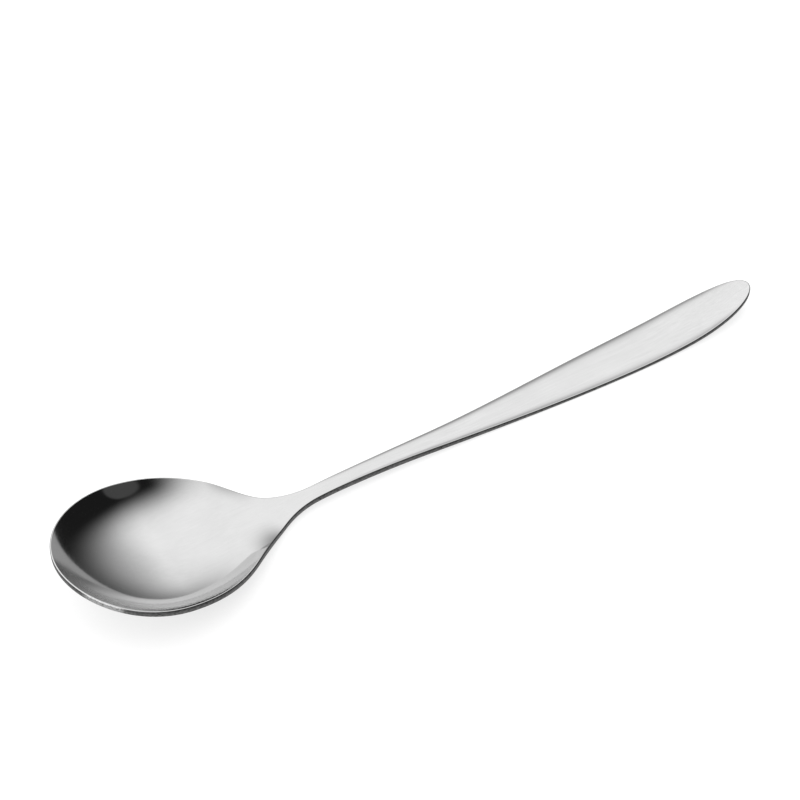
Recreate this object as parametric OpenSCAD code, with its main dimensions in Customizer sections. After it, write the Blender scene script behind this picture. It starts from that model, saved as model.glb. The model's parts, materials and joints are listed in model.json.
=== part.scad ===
// Soup spoon, pressed from one blank of stainless steel.
// It lies on the table as it does in use: the belly of the bowl and the underside of the
// handle touch z = 0, the bowl's tip points to -X and the handle's end to +X.

/* [Overall] */
// Length from the bowl's tip to the handle's end
spoon_l = 205; // [190:1:220]
// Rounding of every upper and lower edge
edge_r = 0.35; // [0.2:0.05:0.5]

/* [Bowl] */
// Widest width of the bowl
bowl_w = 42.6; // [38:0.2:46]
// Distance from the tip to the widest place
bowl_front = 24; // [22:0.1:26]
// Height of the tip's upper edge above the table
tip_h = 19.1; // [17.5:0.1:21]
// Wall thickness at the bottom of the bowl
bowl_wall = 2; // [1.4:0.1:2.2]
// Height of the bowl's edge face, measured upright
rim_t = 1.9; // [1.6:0.1:2.4]
// How much fuller than a parabola the bowl is at its tip
tip_fullness = 1; // [0.6:0.05:1]
// The same behind the widest place
bowl_fullness = 0.7; // [0.2:0.05:1]
// Share of the bowl's depth at the tip, which makes the front run up gently
front_depth = 0.6; // [0.5:0.05:1]

/* [Neck] */
// Width at the narrowest place
neck_w = 4.2; // [3.6:0.1:6]
// Height of the upper edge above the table
neck_h = 4.05; // [3.9:0.05:4.6]
// Height of the edge face
neck_t = 1.9; // [1.6:0.1:2.2]
// How far the underside bulges below its edges
neck_belly = 0.25; // [0:0.05:0.3]

/* [Handle] */
// Widest width of the handle
handle_w = 13.3; // [11:0.1:16]
// Height of the edge face where the handle touches the table
handle_t = 1.2; // [1:0.1:1.8]
// How far the top face bulges above its edges
handle_crown = 0.85; // [0.3:0.05:1.2]
// Height of the end's upper edge above the table
end_h = 7.3; // [5:0.1:10]
// Height of the end's edge face
end_t = 1.6; // [1.2:0.1:2]

/* [Hidden] */

// Steps along the tip, the shoulder, the handle and the end, and across each face
tip_steps = 22;
shoulder_steps = 26;
handle_steps = 30;
end_steps = 16;
face_steps = 14;
round_steps = 3;

// Places along the length
neck_x = 0.336 * spoon_l;
wide_x = 0.88 * spoon_l;
rest_x = 0.752 * spoon_l;

// Reach of the outline's tangents: at the tip, the shoulder, the handle and the end
tip_reach = [0.508 * bowl_w / 2, 0.561 * bowl_front];
shoulder_reach = [0.532, 0.427] * (neck_x - bowl_front);
handle_reach = [0.435, 0.398] * (wide_x - neck_x);
end_reach = [0.73 * (spoon_l - wide_x), 0.525 * handle_w / 2];

// Upper edge seen from the side: place, height and slope
rim_slope = -0.224;
rim_h = tip_h - 6.4;
rim_x = 0.917 * bowl_front;
rim_end = 0.218 * spoon_l;
end_slope = 2.88 * (end_h - handle_t) / (spoon_l - rest_x);
upper_edge = [
    [0, tip_h, -0.4],
    [rim_x, rim_h, rim_slope],
    [rim_end, rim_h + rim_slope * (rim_end - rim_x), rim_slope],
    [0.279 * spoon_l, neck_h - 0.9, 0.04],
    [0.362 * spoon_l, neck_h, 0],
    [0.5 * spoon_l, 0.45 * handle_t + 0.55 * neck_h, -0.079],
    [rest_x, handle_t, 0],
    [spoon_l, end_h, end_slope]
];

// Height of the edge face along the spoon
edge_face = [
    [0, rim_t, 0],
    [0.15 * spoon_l, rim_t, 0],
    [0.366 * spoon_l, neck_t, 0],
    [rest_x, handle_t, 0],
    [spoon_l, end_t, 0]
];

// Share of the bowl's depth from the tip to the neck
hollow_end = 0.341 * spoon_l;
hollow = [
    [0, front_depth, 0],
    [0.131 * spoon_l, 1, 0],
    [0.219 * spoon_l, 1, 0],
    [hollow_end, 0, 0]
];

// Fullness of the bowl from the tip to behind the widest place
fullness = [
    [0.25 * bowl_front, tip_fullness, 0],
    [1.25 * bowl_front, bowl_fullness, 0]
];

// Bulge of the top face
crown = [
    [0.283 * spoon_l, 0, 0],
    [0.4 * spoon_l, 0.3 * handle_crown, 0.004],
    [0.78 * spoon_l, handle_crown, 0],
    [0.92 * spoon_l, 1.1 * handle_crown, 0],
    [spoon_l, 0, -0.06]
];

// Bulge of the underside
belly = [
    [0.195 * spoon_l, 0, 0],
    [0.341 * spoon_l, neck_belly, 0],
    [0.683 * spoon_l, 0, 0]
];

// Smooth line through places, heights and slopes
function rise(x, a, b) =
    let (
        run = b[0] - a[0],
        t = max(0, min(1, (x - a[0]) / run)),
        step = b[1] - a[1],
        from = a[2] * run,
        to = b[2] * run
    )
    from * t + (3 * step - 2 * from - to) * t ^ 2 + (from + to - 2 * step) * t ^ 3;

function total(list, i = 0) = i < len(list) ? list[i] + total(list, i + 1) : 0;

function along(line, x) =
    line[0][1] + total([for (i = [0 : len(line) - 2]) rise(x, line[i], line[i + 1])]);

// Bezier curve and its direction
function bezier(p, t) =
    (1 - t) ^ 3 * p[0] + 3 * (1 - t) ^ 2 * t * p[1] + 3 * (1 - t) * t ^ 2 * p[2] + t ^ 3 * p[3];

function heading(p, t) =
    (1 - t) ^ 2 * (p[1] - p[0]) + 2 * (1 - t) * t * (p[2] - p[1]) + t ^ 2 * (p[3] - p[2]);

// Half of the plan outline in four curves, as [place, half width]
tip_curve = [
    [0, 0],
    [0, tip_reach[0]],
    [bowl_front - tip_reach[1], bowl_w / 2],
    [bowl_front, bowl_w / 2]
];
shoulder_curve = [
    [bowl_front, bowl_w / 2],
    [bowl_front + shoulder_reach[0], bowl_w / 2],
    [neck_x - shoulder_reach[1], neck_w / 2],
    [neck_x, neck_w / 2]
];
handle_curve = [
    [neck_x, neck_w / 2],
    [neck_x + handle_reach[0], neck_w / 2],
    [wide_x - handle_reach[1], handle_w / 2],
    [wide_x, handle_w / 2]
];
end_curve = [
    [wide_x, handle_w / 2],
    [wide_x + end_reach[0], handle_w / 2],
    [spoon_l, end_reach[1]],
    [spoon_l, 0]
];

// A station is a point of the outline with the way outwards from it
function station(p, t) =
    let (way = heading(p, t) / norm(heading(p, t)))
    [bezier(p, t), [-way[1], way[0]]];

function stations(p, steps) = [for (i = [1 : steps]) station(p, i / steps)];

tip_station = station(tip_curve, 0);
end_station = station(end_curve, 1);
middle = concat(
    stations(tip_curve, tip_steps),
    stations(shoulder_curve, shoulder_steps),
    stations(handle_curve, handle_steps),
    [for (i = [1 : end_steps - 1]) station(end_curve, i / end_steps)]
);

// The faces end where the edge's rounding starts
function face_edge(s) = s[0] - edge_r * s[1];

// Share of the full depth at a sideways place: 0 at the rim and 1 at the deepest point
face_half_w = bowl_w / 2 - edge_r;
function sunk(f, y) =
    let (m = (f[1] ^ 2 - y ^ 2) / face_half_w ^ 2)
    along(hollow, f[0]) * m * (1 + along(fullness, f[0]) * (1 - m));

// The belly of the bowl just touches the table
function touch(s) =
    let (
        f = face_edge(s),
        room = along(upper_edge, f[0]) - along(edge_face, f[0]) - along(belly, f[0])
    )
    room / sunk(f, 0);

bowl_stations = [for (s = middle) if (s[0][0] > rim_x && s[0][0] < 0.9 * hollow_end) s];
outer_depth = min([for (s = bowl_stations) touch(s)]);
inner_depth = outer_depth + rim_t - bowl_wall;

// Heights of the top face and of the underside at a station, across from -1 to 1;
// the top of the handle is nearly flat in the middle and rolls off towards its edges
function top_z(f, v) =
    along(upper_edge, f[0])
    - inner_depth * sunk(f, v * f[1])
    + along(crown, f[0]) * (1 - v ^ 4);

function under_z(f, v) =
    along(upper_edge, f[0]) - along(edge_face, f[0])
    - outer_depth * sunk(f, v * f[1])
    - along(belly, f[0]) * (1 - v ^ 2);

// Edge profile of a station from the top face down to the underside
function edge_profile(s) =
    let (
        f = face_edge(s),
        top = along(upper_edge, f[0]) - edge_r,
        bottom = top + 2 * edge_r - along(edge_face, f[0])
    )
    [
        for (i = [0 : round_steps])
            let (a = 90 * (1 - i / round_steps), p = f + edge_r * cos(a) * s[1])
            [p[0], p[1], top + edge_r * sin(a)],
        for (i = [0 : round_steps])
            let (a = -90 * i / round_steps, p = f + edge_r * cos(a) * s[1])
            [p[0], p[1], bottom + edge_r * sin(a)]
    ];

// Sideways places of the points inside a face, closer together near the edges
inner_places = [for (i = [1 : face_steps - 1]) cos(180 * i / face_steps)];

// One closed loop: left edge down, underside across, right edge up, top face back
function loop(s) =
    let (f = face_edge(s), left = edge_profile(s), last = len(left) - 1)
    concat(
        left,
        [for (v = inner_places) [f[0], v * f[1], under_z(f, v)]],
        [for (i = [last : -1 : 0]) [left[i][0], -left[i][1], left[i][2]]],
        [for (v = inner_places) [f[0], -v * f[1], top_z(f, v)]]
    );

profile_n = 2 * round_steps + 2;
loop_n = 2 * (profile_n + face_steps - 1);

// Point of a closing edge profile that each point of a loop runs to
closing = concat(
    [for (i = [0 : profile_n - 1]) i],
    [for (v = inner_places) profile_n - 1],
    [for (i = [profile_n - 1 : -1 : 0]) i],
    [for (v = inner_places) 0]
);

function band(first, second) = [
    for (i = [0 : loop_n - 1])
        let (j = (i + 1) % loop_n)
        each [
            [first + i, first + j, second + j],
            [first + i, second + j, second + i]
        ]
];

function cap(loop_start, profile_start) = [
    for (i = [0 : loop_n - 1])
        let (
            j = (i + 1) % loop_n,
            a = profile_start + closing[i],
            b = profile_start + closing[j]
        )
        each a == b
            ? [[loop_start + i, loop_start + j, b]]
            : [[loop_start + i, loop_start + j, b], [loop_start + i, b, a]]
];

function flipped(faces) = [for (f = faces) [f[2], f[1], f[0]]];

// The whole spoon is one skin from the tip to the end
module spoon() {
    loops = [for (s = middle) loop(s)];
    end_start = len(loops) * loop_n;
    tip_start = end_start + profile_n;
    skin_points = concat(
        [for (l = loops) each l],
        edge_profile(end_station),
        edge_profile(tip_station)
    );
    skin_faces = concat(
        [for (i = [0 : len(loops) - 2]) each band(i * loop_n, (i + 1) * loop_n)],
        cap(end_start - loop_n, end_start),
        flipped(cap(0, tip_start))
    );
    color([0.78, 0.79, 0.8])
        translate([-spoon_l / 2, 0, 0])
            polyhedron(points = skin_points, faces = skin_faces, convexity = 4);
}

spoon();
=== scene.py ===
import json
import math

import bpy
from mathutils import Matrix, Vector

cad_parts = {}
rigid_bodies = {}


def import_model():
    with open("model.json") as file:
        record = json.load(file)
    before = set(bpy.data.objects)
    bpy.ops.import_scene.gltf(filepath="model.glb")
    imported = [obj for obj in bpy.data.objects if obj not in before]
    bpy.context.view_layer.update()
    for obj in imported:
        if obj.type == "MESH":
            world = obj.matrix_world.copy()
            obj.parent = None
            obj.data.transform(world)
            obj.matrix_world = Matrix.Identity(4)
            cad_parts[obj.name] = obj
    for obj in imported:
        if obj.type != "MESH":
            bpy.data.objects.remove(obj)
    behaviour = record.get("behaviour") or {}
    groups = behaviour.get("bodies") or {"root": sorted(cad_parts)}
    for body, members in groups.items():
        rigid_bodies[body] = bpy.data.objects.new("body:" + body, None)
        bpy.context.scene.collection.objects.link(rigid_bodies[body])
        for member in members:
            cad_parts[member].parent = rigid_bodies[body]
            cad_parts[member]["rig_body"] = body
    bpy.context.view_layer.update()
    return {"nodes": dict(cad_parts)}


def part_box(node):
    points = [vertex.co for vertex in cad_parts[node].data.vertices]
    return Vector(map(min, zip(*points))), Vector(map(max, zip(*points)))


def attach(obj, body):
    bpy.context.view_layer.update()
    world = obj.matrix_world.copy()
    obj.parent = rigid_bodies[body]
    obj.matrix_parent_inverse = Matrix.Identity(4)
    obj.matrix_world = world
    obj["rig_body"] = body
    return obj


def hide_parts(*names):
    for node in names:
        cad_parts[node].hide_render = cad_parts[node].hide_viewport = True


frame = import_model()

spoonLow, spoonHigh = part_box("spoon")
spoonBody = frame["nodes"]["spoon"]["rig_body"]
white = (1.0, 1.0, 1.0, 1.0)


# Formulas in node trees

class Formula:
    # a node's output that can be added, multiplied and so on
    def __init__(self, tree, socket):
        self.tree = tree
        self.socket = socket

    def math(self, operation, *others):
        node = self.tree.nodes.new("ShaderNodeMath")
        node.operation = operation
        for socket, value in zip(node.inputs, (self, *others)):
            plug(socket, value)
        return Formula(self.tree, node.outputs[0])

    def __add__(self, other):
        return self.math("ADD", other)

    def __sub__(self, other):
        return self.math("SUBTRACT", other)

    def __rsub__(self, other):
        return self * -1 + other

    def __mul__(self, other):
        return self.math("MULTIPLY", other)

    def __truediv__(self, other):
        return self.math("DIVIDE", other)

    def __pow__(self, power):
        return self.math("POWER", power)

    __radd__ = __add__
    __rmul__ = __mul__

    def between(self, low, high):
        return self.math("MAXIMUM", low).math("MINIMUM", high)


def plug(socket, value):
    if isinstance(value, Formula):
        value.tree.links.new(value.socket, socket)
    else:
        socket.default_value = value


def addNode(tree, kind, settings=None, inputs=None):
    node = tree.nodes.new(kind)
    for name, value in (settings or {}).items():
        setattr(node, name, value)
    for name, value in (inputs or {}).items():
        plug(node.inputs[name], value)
    return node


def output(tree, node, name=0):
    return Formula(tree, node.outputs[name])


def groupInputs(tree, defaults):
    for name, value in defaults.items():
        socket = tree.interface.new_socket(name, in_out="INPUT", socket_type="NodeSocketFloat")
        socket.default_value = value
    source = tree.nodes.new("NodeGroupInput")
    return {name: output(tree, source, name) for name in defaults}


def vectorOf(tree, x, y, z=0.0):
    return output(tree, addNode(tree, "ShaderNodeCombineXYZ", inputs={"X": x, "Y": y, "Z": z}))


def partsOf(tree, vector):
    node = addNode(tree, "ShaderNodeSeparateXYZ", inputs={"Vector": vector})
    return [output(tree, node, axis) for axis in "XYZ"]


def fade(tree, value, low, high):
    # smooth step from 0 at low to 1 at high
    step = addNode(tree, "ShaderNodeMapRange", {"interpolation_type": "SMOOTHSTEP"}, {
        "Value": value, "From Min": low, "From Max": high,
    })
    return output(tree, step)


def blend(share, first, second):
    return share * (second - first) + first


# Spoon

spoonSizes = {
    "Length": spoonHigh.x - spoonLow.x,
    "Edge Rounding": 0.00035,
    "Bowl Width": spoonHigh.y - spoonLow.y,
    "Bowl Front": 0.024,  # from the tip to the widest place
    "Tip Height": 0.0191,
    "Bowl Wall": 0.002,
    "Rim Face": 0.0019,
    "Tip Fullness": 1.0,
    "Bowl Fullness": 0.7,
    "Front Depth": 0.6,  # share of the bowl's depth at the tip
    "Neck Width": 0.0042,
    "Neck Height": 0.00405,
    "Neck Face": 0.0019,
    "Neck Belly": 0.00025,
    "Handle Width": 0.0133,
    "Handle Face": 0.0012,
    "Handle Crown": 0.00085,
    "End Height": 0.0073,
    "End Face": 0.0016,
}

spoonShape = {
    "neck": 0.336,  # places as shares of the length
    "handleWide": 0.88,
    "rimEnd": 0.218,
    "hollowEnd": 0.341,
    "rest": 0.752,
    "rimStart": 0.917,  # as a share of the bowl's front
    "rimDrop": 0.0064,  # from the tip to the straight part of the rim
    "rimSlope": -0.224,
    "endSlope": 2.88,  # times the mean slope from the rest to the end
    "bellyEnd": 0.9,  # share of the hollow in which the belly can touch the table
    "tipReach": (0.508, 0.561),  # the outline's tangents, as shares of the stretch they cross
    "shoulderReach": (0.532, 0.427),
    "handleReach": (0.435, 0.398),
    "endReach": (0.73, 0.525),
    "crownPower": 4,  # the handle's top is nearly flat in the middle
    "bellyPower": 2,
}

spoonMesh = {
    "stretchRows": 72,  # rows along each of the outline's four curves
    "faceSteps": 30,  # from the middle of a face to its edge
    "roundSteps": 4,
    "edgeSteps": 2,
    "curveSteps": 160,
    "weld": 0.000002,
    "edgeFrom": 0.4,  # share of the upper rounding that belongs to the top face
    "wholeFace": 0.99,  # least mean mark of a face with all corners on the ground edge
}


def lineSpanGroup():
    # rise of a smooth line between two places with given heights and slopes
    group = bpy.data.node_groups.new("lineSpan", "GeometryNodeTree")
    ends = ("From Place", "From Height", "From Slope", "To Place", "To Height", "To Slope")
    given = groupInputs(group, dict.fromkeys(("Place", *ends), 0.0))
    run = given["To Place"] - given["From Place"]
    t = ((given["Place"] - given["From Place"]) / run).between(0.0, 1.0)
    step = given["To Height"] - given["From Height"]
    leave = given["From Slope"] * run
    arrive = given["To Slope"] * run
    square, cube = 3 * step - 2 * leave - arrive, leave + arrive - 2 * step
    rise = leave * t + square * t ** 2 + cube * t ** 3
    group.interface.new_socket("Rise", in_out="OUTPUT", socket_type="NodeSocketFloat")
    addNode(group, "NodeGroupOutput", inputs={"Rise": rise})
    return group


def smoothLine(tree, spanGroup, place, points):
    total = points[0][1]
    for (fromPlace, fromHeight, fromSlope), (toPlace, toHeight, toSlope) in zip(points, points[1:]):
        span = addNode(tree, "GeometryNodeGroup", {"node_tree": spanGroup}, {
            "Place": place,
            "From Place": fromPlace, "From Height": fromHeight, "From Slope": fromSlope,
            "To Place": toPlace, "To Height": toHeight, "To Slope": toSlope,
        })
        total = output(tree, span) + total
    return total


def sideLines(tree, size, place):
    # lines along the spoon, each through places with their heights and slopes
    shape = spoonShape
    length, front = size["Length"], size["Bowl Front"]
    rimStart, rimEnd = front * shape["rimStart"], length * shape["rimEnd"]
    rimHeight, rimSlope = size["Tip Height"] - shape["rimDrop"], shape["rimSlope"]
    neckHeight = size["Neck Height"]
    handleFace, handleCrown = size["Handle Face"], size["Handle Crown"]
    rest = length * shape["rest"]
    endSlope = (size["End Height"] - handleFace) / (length - rest) * shape["endSlope"]
    lines = {
        "upper": [
            (0.0, size["Tip Height"], -0.4),
            (rimStart, rimHeight, rimSlope),
            (rimEnd, rimHeight + (rimEnd - rimStart) * rimSlope, rimSlope),
            (length * 0.279, neckHeight - 0.0009, 0.04),
            (length * 0.362, neckHeight, 0.0),
            (length * 0.5, handleFace * 0.45 + neckHeight * 0.55, -0.079),
            (rest, handleFace, 0.0),
            (length, size["End Height"], endSlope),
        ],
        "face": [
            (0.0, size["Rim Face"], 0.0),
            (length * 0.15, size["Rim Face"], 0.0),
            (length * 0.366, size["Neck Face"], 0.0),
            (rest, handleFace, 0.0),
            (length, size["End Face"], 0.0),
        ],
        "hollow": [
            (0.0, size["Front Depth"], 0.0),
            (length * 0.131, 1.0, 0.0),
            (length * 0.219, 1.0, 0.0),
            (length * shape["hollowEnd"], 0.0, 0.0),
        ],
        "fullness": [
            (front * 0.25, size["Tip Fullness"], 0.0),
            (front * 1.25, size["Bowl Fullness"], 0.0),
        ],
        "crown": [
            (length * 0.283, 0.0, 0.0),
            (length * 0.4, handleCrown * 0.3, 0.004),
            (length * 0.78, handleCrown, 0.0),
            (length * 0.92, handleCrown * 1.1, 0.0),
            (length, 0.0, -0.06),
        ],
        "belly": [
            (length * 0.195, 0.0, 0.0),
            (length * 0.341, size["Neck Belly"], 0.0),
            (length * 0.683, 0.0, 0.0),
        ],
    }
    spanGroup = lineSpanGroup()
    return {name: smoothLine(tree, spanGroup, place, points) for name, points in lines.items()}


def outlineCurves(tree, size):
    # half of the plan outline: tip, shoulder, handle and end, as corner points with their tangents
    shape = spoonShape
    length, front = size["Length"], size["Bowl Front"]
    widths = (size[name] for name in ("Bowl Width", "Neck Width", "Handle Width"))
    half, neckHalf, handleHalf = (width * 0.5 for width in widths)
    neck, wide = length * shape["neck"], length * shape["handleWide"]
    tipUp, tipBack = shape["tipReach"]
    shoulderOn, shoulderBack = ((neck - front) * reach for reach in shape["shoulderReach"])
    handleOn, handleBack = ((wide - neck) * reach for reach in shape["handleReach"])
    endOn, endUp = shape["endReach"]
    corners = [
        [(0.0, 0.0), (0.0, half * tipUp), (front * (1 - tipBack), half), (front, half)],
        [(front, half), (front + shoulderOn, half), (neck - shoulderBack, neckHalf),
         (neck, neckHalf)],
        [(neck, neckHalf), (neck + handleOn, neckHalf), (wide - handleBack, handleHalf),
         (wide, handleHalf)],
        [(wide, handleHalf), (wide + (length - wide) * endOn, handleHalf),
         (length, handleHalf * endUp), (length, 0.0)],
    ]
    curves = []
    for points in corners:
        start, startHandle, endHandle, end = [vectorOf(tree, x, y) for x, y in points]
        curve = addNode(tree, "GeometryNodeCurvePrimitiveBezierSegment", {"mode": "POSITION"}, {
            "Resolution": spoonMesh["curveSteps"],
            "Start": start, "Start Handle": startHandle, "End Handle": endHandle, "End": end,
        })
        curves.append(output(tree, curve))
    return curves


def outlineAt(tree, curves, row):
    # point of the outline at each row of the sheet, and the way outwards from it
    reach = (row + 0.5) * len(curves)
    stretch = reach.math("FLOOR").between(0.0, len(curves) - 1.0)
    picks = {}
    for name in ("Position", "Tangent"):
        picks[name] = addNode(
            tree, "GeometryNodeIndexSwitch", {"data_type": "VECTOR"}, {"Index": stretch})
        for _ in curves[2:]:  # the node starts with two items
            picks[name].index_switch_items.new()
    for number, curve in enumerate(curves):
        wholeCurve = {"mode": "FACTOR", "use_all_curves": True}
        sample = addNode(tree, "GeometryNodeSampleCurve", wholeCurve, {
            "Curves": curve, "Factor": (reach - stretch).between(0.0, 1.0),
        })
        for name, pick in picks.items():
            plug(pick.inputs[number + 1], output(tree, sample, name))
    pointX, pointY, _ = partsOf(tree, output(tree, picks["Position"]))
    wayX, wayY, _ = partsOf(tree, output(tree, picks["Tangent"]))
    return pointX, pointY, wayY * -1, wayX


def alter(tree, geometry, kind, inputs=None, settings=None):
    return output(tree, addNode(tree, kind, settings, {"Geometry": geometry, **(inputs or {})}))


def finishSkin(tree, skin):
    # weld the loops and the two ends, then give the faces their finish and the edge its finish with
    # painted shade
    finishes = tree.nodes.new("NodeGroupInput")
    mark = addNode(
        tree, "GeometryNodeInputNamedAttribute", {"data_type": "FLOAT"}, {"Name": "groundEdgeWithPaintedShade"})
    skin = alter(tree, skin, "GeometryNodeMergeByDistance", {"Distance": spoonMesh["weld"]})
    skin = alter(tree, skin, "GeometryNodeSetShadeSmooth")
    skin = alter(tree, skin, "GeometryNodeRealizeInstances")
    skin = alter(tree, skin, "GeometryNodeSetMaterial", {
        "Material": output(tree, finishes, "Face Finish"),
    })
    return alter(tree, skin, "GeometryNodeSetMaterial", {
        "Material": output(tree, finishes, "Edge Finish And Shade"),
        "Selection": output(tree, mark).math("GREATER_THAN", spoonMesh["wholeFace"]),
    })


def spoonTree():
    tree = bpy.data.node_groups.new("spoonShape", "GeometryNodeTree")
    size = groupInputs(tree, spoonSizes)
    for name in ("Face Finish", "Edge Finish And Shade"):
        tree.interface.new_socket(name, in_out="INPUT", socket_type="NodeSocketMaterial")
    tree.interface.new_socket("Spoon", in_out="OUTPUT", socket_type="NodeSocketGeometry")
    length, rounding, bowlHalf = size["Length"], size["Edge Rounding"], size["Bowl Width"] * 0.5

    # a flat sheet: its rows become stations along the spoon, its columns one loop round each
    faceSteps, roundSteps, edgeSteps = (
        spoonMesh[part] for part in ("faceSteps", "roundSteps", "edgeSteps"))
    halfLoop = 2 * faceSteps + 2 * roundSteps + edgeSteps
    curves = outlineCurves(tree, size)
    sheet = output(tree, addNode(tree, "GeometryNodeMeshGrid", inputs={
        "Size X": 1.0, "Size Y": 1.0,
        "Vertices X": 2 * halfLoop + 1, "Vertices Y": len(curves) * spoonMesh["stretchRows"] + 1,
    }))
    across, row, _ = partsOf(tree, output(tree, tree.nodes.new("GeometryNodeInputPosition")))

    # the faces end where the edge's rounding starts
    pointX, pointY, outX, outY = outlineAt(tree, curves, row)
    place = pointX - rounding * outX
    half = (pointY - rounding * outY).math("MAXIMUM", 0.0)
    line = sideLines(tree, size, place)
    upper, face, belly = line["upper"], line["face"], line["belly"]

    # how deep the hollow is at a place, as a share of the bowl's depth
    def sunk(y):
        share = (half ** 2 - y ** 2) / (bowlHalf - rounding) ** 2
        return share * ((1 - share) * line["fullness"] + 1) * line["hollow"]

    # the bowl's depth is what just lets its belly touch the table
    bellyStart = size["Bowl Front"] * spoonShape["rimStart"]
    bellyEnd = length * (spoonShape["hollowEnd"] * spoonShape["bellyEnd"])
    room = addNode(tree, "GeometryNodeAttributeStatistic", inputs={
        "Geometry": sheet,
        "Selection": place.math("GREATER_THAN", bellyStart) * place.math("LESS_THAN", bellyEnd),
        "Attribute": (upper - face - belly) / sunk(half * 0),
    })
    outerDepth = output(tree, room, "Min")
    innerDepth = outerDepth + size["Rim Face"] - size["Bowl Wall"]

    # one loop: from the top face's middle over an edge to the underside's middle, and back
    loop = (1 - (across * 2).math("ABSOLUTE")) * halfLoop
    side = across.math("SIGN")
    fromTop = (loop / faceSteps).between(0.0, 1.0)
    fromUnder = ((halfLoop - loop) / faceSteps).between(0.0, 1.0)
    sideways = (fromTop.math("MINIMUM", fromUnder) * (math.pi / 2)).math("SINE")
    upperTurn = ((loop - faceSteps) / roundSteps).between(0.0, 1.0)
    down = ((loop - (faceSteps + roundSteps)) / edgeSteps).between(0.0, 1.0)
    lowerTurn = ((loop - (faceSteps + roundSteps + edgeSteps)) / roundSteps).between(0.0, 1.0)
    turn = (1 - upperTurn - lowerTurn) * (math.pi / 2)
    outwards = rounding * turn.math("COSINE")
    edgeHeight = upper - rounding - (face - rounding * 2) * down + rounding * turn.math("SINE")
    onTop = loop.math("LESS_THAN", halfLoop / 2)
    topBulge = line["crown"] * onTop * (1 - sideways ** spoonShape["crownPower"])
    underBulge = belly * (1 - onTop) * (1 - sideways ** spoonShape["bellyPower"])
    y = half * sideways
    height = edgeHeight - blend(onTop, outerDepth, innerDepth) * sunk(y) + topBulge - underBulge

    # marks for the finishes and the edge's painted shade are stored while the sheet is still flat
    belowTop = upperTurn.math("GREATER_THAN", spoonMesh["edgeFrom"])
    marks = {
        "groundEdgeWithPaintedShade": belowTop * lowerTurn.math("LESS_THAN", 1.0),
        "edgeDown": ((loop - faceSteps) / (2 * roundSteps + edgeSteps)).between(0.0, 1.0),
        "rimShare": (half ** 2 - y ** 2) / bowlHalf ** 2,
    }
    skin = sheet
    for name, value in marks.items():
        skin = alter(tree, skin, "GeometryNodeStoreNamedAttribute", {"Name": name, "Value": value},
                     {"data_type": "FLOAT", "domain": "POINT"})
    skinX, skinY = place + outX * outwards - length * 0.5, side * (y + outY * outwards)
    skin = alter(tree, skin, "GeometryNodeSetPosition", {
        "Position": vectorOf(tree, skinX, skinY, height),
    })
    addNode(tree, "NodeGroupOutput", inputs={"Spoon": finishSkin(tree, skin)})
    return tree


def makeSpoon(faceFinish, edgeFinishAndShade):
    draft = bpy.data.objects.new("spoonDraft", bpy.data.meshes.new("spoonDraft"))
    bpy.context.scene.collection.objects.link(draft)
    tree = spoonTree()
    modifier = draft.modifiers.new("spoonShape", "NODES")
    modifier.node_group = tree
    values = dict(spoonSizes, **{"Face Finish": faceFinish, "Edge Finish And Shade": edgeFinishAndShade})
    for socket in tree.interface.items_tree:
        if socket.in_out == "INPUT" and socket.name in values:
            modifier[socket.identifier] = values[socket.name]
    view = bpy.context.evaluated_depsgraph_get()
    mesh = bpy.data.meshes.new_from_object(draft.evaluated_get(view))
    mesh.name = "spoonSkin"
    mesh.materials.pop(index=0)  # the sheet's own empty slot
    draft.modifiers.remove(modifier)
    bpy.data.objects.remove(draft)
    spoon = bpy.data.objects.new("spoonSkin", mesh)
    bpy.context.scene.collection.objects.link(spoon)
    return spoon


# Steel

grainLook = {
    "noiseMiddle": 0.5,
    "noiseRoughness": 0.6,
    "lineDetail": 3.0,
    "scratchSlants": (0.35, -0.22, 1.4),  # angles to the spoon's length
    "scratchScale": (110.0, 3400.0, 300.0),  # per metre along a scratch, across it and upwards
    "scratchDetail": 1.0,
    "scratchSeed": 3.7,
    "scratchFrom": 0.7,  # only the peaks of the noise become scratches
    "scratchGain": 14,
    "wearScale": (90.0, 120.0, 120.0),
    "wearDetail": 5.0,
    "wearSeed": 20.0,
    "usedPlace": (-0.0972, -0.0128),  # a right-handed user wears the bowl here
    "usedCore": 0.5,  # share of the reach that is worn in full
}

steelLook = {
    "colour": 0.68,
    "seed": 0.0,
    "bowlRoughness": 0.09,
    "handleRoughness": 0.14,
    "satinFrom": -0.05,  # the polished bowl turns into the satin handle between these places
    "satinTo": -0.01,
    "bowlBrushing": 0.5,  # strength of the brush lines in the bowl, against the handle
    "linesAlong": 45.0,  # brush lines per metre along the spoon and across it
    "linesAcross": 2600.0,
    "lineDepth": 0.0000012,
    "lineTint": 0.2,
    "lineRoughness": 0.05,
    "wearTint": 0.16,
    "wearRoughness": 0.03,
    "scratchRoughness": 0.05,
    "scratchDepth": 0.4,  # against the depth of a brush line
    "useReach": 0.019,
    "useRoughness": 0.26,  # added on the worn wall below the rim
    "useDepth": 0.4,  # rimShare at which that wear ends
}

edgeLook = {
    # the cut's dark grey is partly its duller ground finish and partly painted shade
    "colour": 0.28,
    "seed": 7.0,
    "roughness": 0.3,
    "linesAlong": 1400.0,
    "linesAcross": 2600.0,
    "lineDepth": 0.000002,
    "lineTint": 3.5,  # makes the cut speckled
    "lineRoughness": 0.15,
    "wearTint": 0.6,
    "wearRoughness": 0.1,
    "topShade": 0.45,  # painted shade: the upper part of the cut is darker than the lower
    "topStart": 0.3,  # and turns lighter between these shares of the way down
    "topEnd": 0.55,
    "useReach": 0.006,
    "usedColour": 0.95,  # the worn stretch of the edge is polished and left without the painted shade
}


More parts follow.
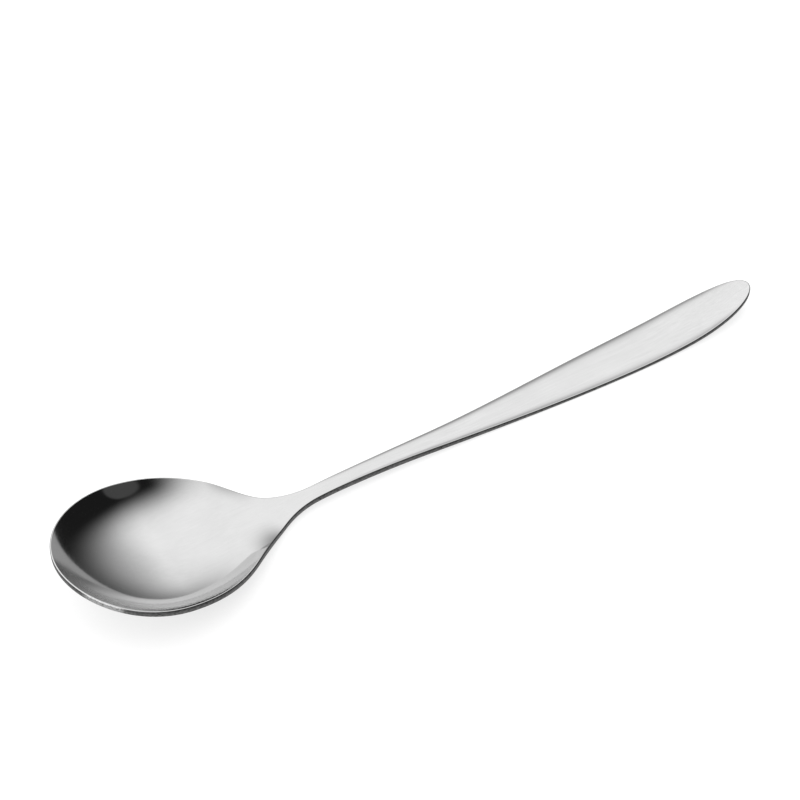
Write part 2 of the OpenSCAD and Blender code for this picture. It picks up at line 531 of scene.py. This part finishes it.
def steelGrainGroup():
    # brush lines along the spoon, slanting scratches, cloudy patches, and the place worn by use
    look = grainLook
    group = bpy.data.node_groups.new("steelGrain", "ShaderNodeTree")
    group.interface.new_socket("Point", in_out="INPUT", socket_type="NodeSocketVector")
    given = groupInputs(group, dict.fromkeys(("Along", "Across", "Seed", "Use Reach"), 0.0))
    x, y, z = partsOf(group, output(group, group.nodes.new("NodeGroupInput"), "Point"))

    def streaks(spot, scale, seed, detail):
        noise = addNode(group, "ShaderNodeTexNoise", {"noise_dimensions": "4D"}, {
            "Vector": vectorOf(group, *(part * size for part, size in zip(spot, scale))),
            "W": given["Seed"] + seed,
            "Scale": 1.0, "Detail": detail, "Roughness": look["noiseRoughness"],
        })
        return output(group, noise)

    lineScale = (given["Along"], given["Across"], given["Across"])
    lines = streaks((x, y, z), lineScale, 0.0, look["lineDetail"]) - look["noiseMiddle"]
    scratches = None
    for number, slant in enumerate(look["scratchSlants"], 1):
        along = x * math.cos(slant) + y * math.sin(slant)
        across = y * math.cos(slant) - x * math.sin(slant)
        seed = look["scratchSeed"] * number
        streak = streaks((along, across, z), look["scratchScale"], seed, look["scratchDetail"])
        scratch = ((streak - look["scratchFrom"]) * look["scratchGain"]).between(0.0, 1.0)
        scratches = scratch if scratches is None else scratches.math("MAXIMUM", scratch)
    patches = streaks((x, y, z), look["wearScale"], look["wearSeed"], look["wearDetail"])
    usedX, usedY = look["usedPlace"]
    away = ((x - usedX) ** 2 + (y - usedY) ** 2) ** 0.5
    useReach = given["Use Reach"]
    results = {
        "Lines": lines,
        "Scratches": scratches,
        "Wear": patches - look["noiseMiddle"],
        "Use": 1 - fade(group, away, useReach * look["usedCore"], useReach),
    }
    for name in results:
        group.interface.new_socket(name, in_out="OUTPUT", socket_type="NodeSocketFloat")
    addNode(group, "NodeGroupOutput", inputs=results)
    return group


def objectPoint(tree):
    return output(tree, tree.nodes.new("ShaderNodeTexCoord"), "Object")


def metalMaterial(name, look, grainGroup):
    material = bpy.data.materials.new(name)
    material.use_nodes = True
    tree = material.node_tree
    grain = addNode(tree, "ShaderNodeGroup", {"node_tree": grainGroup}, {
        "Point": objectPoint(tree), "Seed": look["seed"], "Use Reach": look["useReach"],
        "Along": look["linesAlong"], "Across": look["linesAcross"],
    })
    shader = tree.nodes["Principled BSDF"]
    shader.inputs["Metallic"].default_value = 1.0
    return material, shader, grain


def surfaceValue(tree, name):
    return output(tree, addNode(tree, "ShaderNodeAttribute", {"attribute_name": name}), "Fac")


def setGrey(tree, shader, grey):
    channels = dict.fromkeys(("Red", "Green", "Blue"), grey)
    colour = addNode(tree, "ShaderNodeCombineColor", inputs=channels)
    plug(shader.inputs["Base Color"], output(tree, colour))


def setBump(tree, shader, height, depth):
    bump = addNode(
        tree, "ShaderNodeBump", inputs={"Strength": 1.0, "Distance": depth, "Height": height})
    plug(shader.inputs["Normal"], output(tree, bump))


def makeSteel(grainGroup):
    look = steelLook
    material, shader, grain = metalMaterial("polishedSteel", look, grainGroup)
    tree = material.node_tree
    lines, scratches, wear, used = (
        output(tree, grain, name) for name in ("Lines", "Scratches", "Wear", "Use"))
    x, _, _ = partsOf(tree, objectPoint(tree))
    satin = fade(tree, x, look["satinFrom"], look["satinTo"])
    worn = used * (1 - fade(tree, surfaceValue(tree, "rimShare"), 0.0, look["useDepth"]))
    brushed = lines * blend(satin, look["bowlBrushing"], 1.0)
    tint = brushed * look["lineTint"] + wear * look["wearTint"] + 1.0
    setGrey(tree, shader, tint * look["colour"])
    grainRoughness = brushed * look["lineRoughness"] + wear * look["wearRoughness"]
    useRoughness = scratches * look["scratchRoughness"] + worn * look["useRoughness"]
    ownRoughness = blend(satin, look["bowlRoughness"], look["handleRoughness"])
    plug(shader.inputs["Roughness"], ownRoughness + grainRoughness + useRoughness)
    setBump(tree, shader, brushed - scratches * look["scratchDepth"], look["lineDepth"])
    return material


def makeGroundEdgeWithPaintedShade(grainGroup):
    look = edgeLook
    material, shader, grain = metalMaterial("groundEdgeWithPaintedShade", look, grainGroup)
    tree = material.node_tree
    lines, wear, used = (output(tree, grain, name) for name in ("Lines", "Wear", "Use"))
    # painted shade: the upper part of the cut is made darker than the lower
    lower = fade(tree, surfaceValue(tree, "edgeDown"), look["topStart"], look["topEnd"])
    ground = blend(lower, look["topShade"], 1.0) * look["colour"]
    speckle = lines * look["lineTint"] + wear * look["wearTint"] + 1.0
    # painted shade: the cut's grey is kept dark, except on the worn stretch
    setGrey(tree, shader, speckle * blend(used, ground, look["usedColour"]))
    grainRoughness = lines * look["lineRoughness"] + wear * look["wearRoughness"]
    plug(shader.inputs["Roughness"], grainRoughness + look["roughness"])
    setBump(tree, shader, lines, look["lineDepth"])
    return material


# Studio

studioLook = {
    "bright": 1.15,
    "dark": 0.0126,
    "brightWay": (121.9, 49.1),  # heading from +X and elevation of the room's bright part
    "fadeMiddle": 0.26,  # cosine of the angle from it at which the room is half dark
    "fadeWidth": 0.777,
    "lightWay": (165.0, 0.0),  # side on which the dark is lifted
    "lightFrom": -0.39,
    "lightTo": 0.48,
    "duskWay": (-4.9, 0.0),  # side on which the horizon is darker
    "duskFrom": -0.17,
    "duskTo": 0.46,
    "horizon": 0.38,  # share of the brightness that is left at the horizon there
    "horizonFrom": 0.024,  # sines of the elevations between which it rises again
    "horizonTo": 0.76,
    "lampWay": (-60.3, 23.9),  # faint round lamp in the dark part
    "lampAngle": math.radians(11.5),
    "lampSoft": math.radians(1.5),
    "lampBright": 0.064,
    "backdrop": (0.96, 0.96, 0.96, 1.0),
    "floorSide": 3.0,
    "floorDrop": 0.00002,  # keeps the floor from lying in the spoon's underside
    "floorColour": (0.34, 0.34, 0.34, 1.0),
    "floorRoughness": 0.9,
    "floorGlow": 0.7,  # the floor is lit from below too, which softens the shadow
    "floorInMetal": (0.38, 0.38, 0.38, 1.0),
    "keyHeight": 1.1,
    "keySide": 1.4,
    "keyPower": 10.0,
}

cameraSet = {
    "target": (0.003034, 0.019516, -0.002214),
    "distance": 0.5125,
    "heading": math.radians(33.084),
    "elevation": math.radians(47.881),
    "roll": math.radians(1.454),
    "lens": 87.75,
    "sensor": 36.0,
    "nearest": 0.01,
}


def mixShaders(tree, share, first, second):
    mix = tree.nodes.new("ShaderNodeMixShader")
    for socket, value in zip(mix.inputs, (share, first, second)):
        plug(socket, value)
    return output(tree, mix)


def makeRoom():
    look = studioLook
    world = bpy.data.worlds.new("studio")
    bpy.context.scene.world = world
    world.use_nodes = True
    tree = world.node_tree
    tree.nodes.clear()
    x, y, z = partsOf(tree, output(tree, tree.nodes.new("ShaderNodeTexCoord"), "Generated"))

    def fadeTowards(way, low, high):
        heading, elevation = map(math.radians, way)
        flat = math.cos(elevation)
        flatPart = x * (flat * math.cos(heading)) + y * (flat * math.sin(heading))
        return fade(tree, flatPart + z * math.sin(elevation), low, high)

    middle, halfFade = look["fadeMiddle"], look["fadeWidth"] / 2
    lit = fadeTowards(look["brightWay"], middle - halfFade, middle + halfFade)
    lifted = fadeTowards(look["lightWay"], look["lightFrom"], look["lightTo"])
    unlit = (1 - lit) * (1 - lifted)
    low = 1 - fade(tree, z, look["horizonFrom"], look["horizonTo"])
    dusk = low * fadeTowards(look["duskWay"], look["duskFrom"], look["duskTo"])
    lampRim, lampCore = (math.cos(look["lampAngle"] + soft * look["lampSoft"]) for soft in (1, -1))
    lamp = fadeTowards(look["lampWay"], lampRim, lampCore)
    brightPart = (1 - unlit) * blend(dusk, 1.0, look["horizon"]) * look["bright"]
    darkPart = unlit * (lamp * look["lampBright"] + look["dark"])
    room = addNode(tree, "ShaderNodeBackground", inputs={
        "Color": white, "Strength": brightPart + darkPart,
    })
    backdrop = addNode(tree, "ShaderNodeBackground", inputs={"Color": look["backdrop"]})
    seen = output(tree, tree.nodes.new("ShaderNodeLightPath"), "Is Camera Ray")
    surface = mixShaders(tree, seen, output(tree, room), output(tree, backdrop))
    addNode(tree, "ShaderNodeOutputWorld", inputs={"Surface": surface})


def makeFloor():
    look = studioLook
    side, height = look["floorSide"] / 2, spoonLow.z - look["floorDrop"]
    mesh = bpy.data.meshes.new("floor")
    corners = [(x * side, y * side, height) for x, y in ((-1, -1), (1, -1), (1, 1), (-1, 1))]
    mesh.from_pydata(corners, [], [(0, 1, 2, 3)])
    floor = bpy.data.objects.new("floor", mesh)
    bpy.context.scene.collection.objects.link(floor)
    material = bpy.data.materials.new("paleFloor")
    material.use_nodes = True
    tree = material.node_tree
    pale = tree.nodes["Principled BSDF"]
    pale.inputs["Base Color"].default_value = look["floorColour"]
    pale.inputs["Roughness"].default_value = look["floorRoughness"]
    pale.inputs["Specular IOR Level"].default_value = 0.0
    pale.inputs["Emission Color"].default_value = white
    pale.inputs["Emission Strength"].default_value = look["floorGlow"]
    inMetal = addNode(tree, "ShaderNodeEmission", inputs={"Color": look["floorInMetal"]})
    mirrored = output(tree, tree.nodes.new("ShaderNodeLightPath"), "Is Glossy Ray")
    upper = mixShaders(tree, mirrored, output(tree, pale), output(tree, inMetal))
    # from below the floor is clear, so that the underside can be looked at
    clear = output(tree, tree.nodes.new("ShaderNodeBsdfTransparent"))
    fromBelow = output(tree, tree.nodes.new("ShaderNodeNewGeometry"), "Backfacing")
    surface = mixShaders(tree, fromBelow, upper, clear)
    plug(tree.nodes["Material Output"].inputs["Surface"], surface)
    mesh.materials.append(material)


def makeKeyLight():
    light = bpy.data.lights.new("softKey", "AREA")
    light.shape = "SQUARE"
    light.size = studioLook["keySide"]
    light.energy = studioLook["keyPower"]
    lamp = bpy.data.objects.new("softKey", light)
    lamp.location = (0.0, 0.0, studioLook["keyHeight"])
    lamp.visible_glossy = False
    lamp.visible_camera = False
    bpy.context.scene.collection.objects.link(lamp)


def makeCamera():
    heading, elevation, roll = (cameraSet[turn] for turn in ("heading", "elevation", "roll"))
    level = Vector((math.cos(heading), -math.sin(heading), 0.0))
    away = Vector((math.sin(heading), math.cos(heading), 0.0))
    look = away * math.cos(elevation) - Vector((0.0, 0.0, math.sin(elevation)))
    upright = level.cross(look)
    right = level * math.cos(roll) + upright * math.sin(roll)
    up = upright * math.cos(roll) - level * math.sin(roll)
    camera = bpy.data.objects.new("camera", bpy.data.cameras.new("camera"))
    camera.data.lens = cameraSet["lens"]
    camera.data.sensor_width = cameraSet["sensor"]
    camera.data.clip_start = cameraSet["nearest"]
    place = Vector(cameraSet["target"]) - look * cameraSet["distance"]
    turned = Matrix((right, up, -look)).transposed().to_4x4()
    camera.matrix_world = Matrix.Translation(place) @ turned
    bpy.context.scene.collection.objects.link(camera)
    bpy.context.scene.camera = camera


grainGroup = steelGrainGroup()
spoon = makeSpoon(makeSteel(grainGroup), makeGroundEdgeWithPaintedShade(grainGroup))
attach(spoon, spoonBody)
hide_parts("spoon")
edgeFaces = sum(face.material_index for face in spoon.data.polygons)
print("spoon:", len(spoon.data.polygons), "faces,", edgeFaces, "of them on the ground edge")

makeRoom()
makeFloor()
makeKeyLight()
makeCamera()
bpy.context.scene.view_settings.view_transform = "Standard"
print("studio: room, floor, key light and camera")
